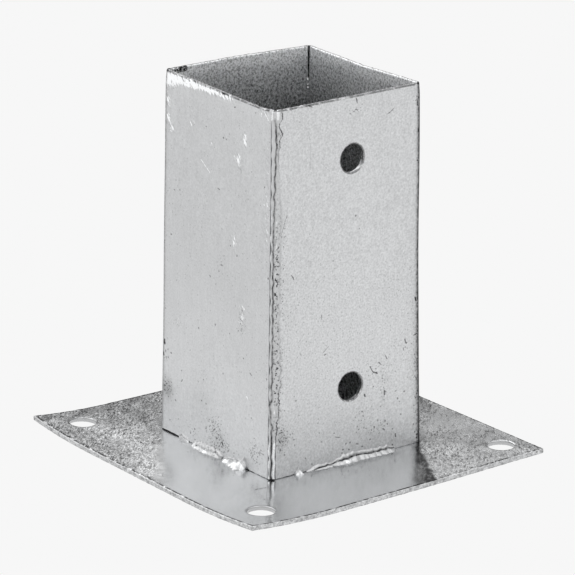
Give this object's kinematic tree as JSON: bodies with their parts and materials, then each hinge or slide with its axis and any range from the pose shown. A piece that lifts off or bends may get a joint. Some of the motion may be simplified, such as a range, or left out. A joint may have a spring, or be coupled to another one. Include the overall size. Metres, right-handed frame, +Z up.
{
  "type": "bolt-down post support",
  "caption": "Square open-topped socket of two folded steel angles welded to a square base plate with corner anchor holes, holding the foot of a timber post.",
  "frame": {"origin": "middle of the base plate's underside", "axes": "+Z up the socket, +X and -X out through the drilled walls, -Y and +Y out through the plain walls; the welded front corner is at +X -Y"},
  "size_m": [0.15, 0.15, 0.1523],
  "materials": {
    "galvanised_plate": "hot-dip galvanised, smooth and part mirror-like, with a mottled crystalline bloom towards the plate's outer corners",
    "galvanised_sheet": "hot-dip galvanised, even satin pale grey with pits, scuffs and zinc drips",
    "galvanised_weld": "lumpy weld beads under bright hot-dip zinc"
  },
  "bodies": {
    "root": {"base_plate": "galvanised_plate", "socket_angle_left": "galvanised_sheet", "socket_angle_right": "galvanised_sheet", "corner_weld_front": "galvanised_weld", "corner_weld_rear": "galvanised_weld", "foot_weld_plain_side_tack": "galvanised_weld", "foot_weld_plain_side_run": "galvanised_weld", "foot_weld_plain_side_end": "galvanised_weld", "foot_weld_drilled_side_tack": "galvanised_weld", "foot_weld_drilled_side_run": "galvanised_weld", "foot_weld_far_plain_side": "galvanised_weld", "foot_weld_far_drilled_side": "galvanised_weld"}
  },
  "joints": []
}
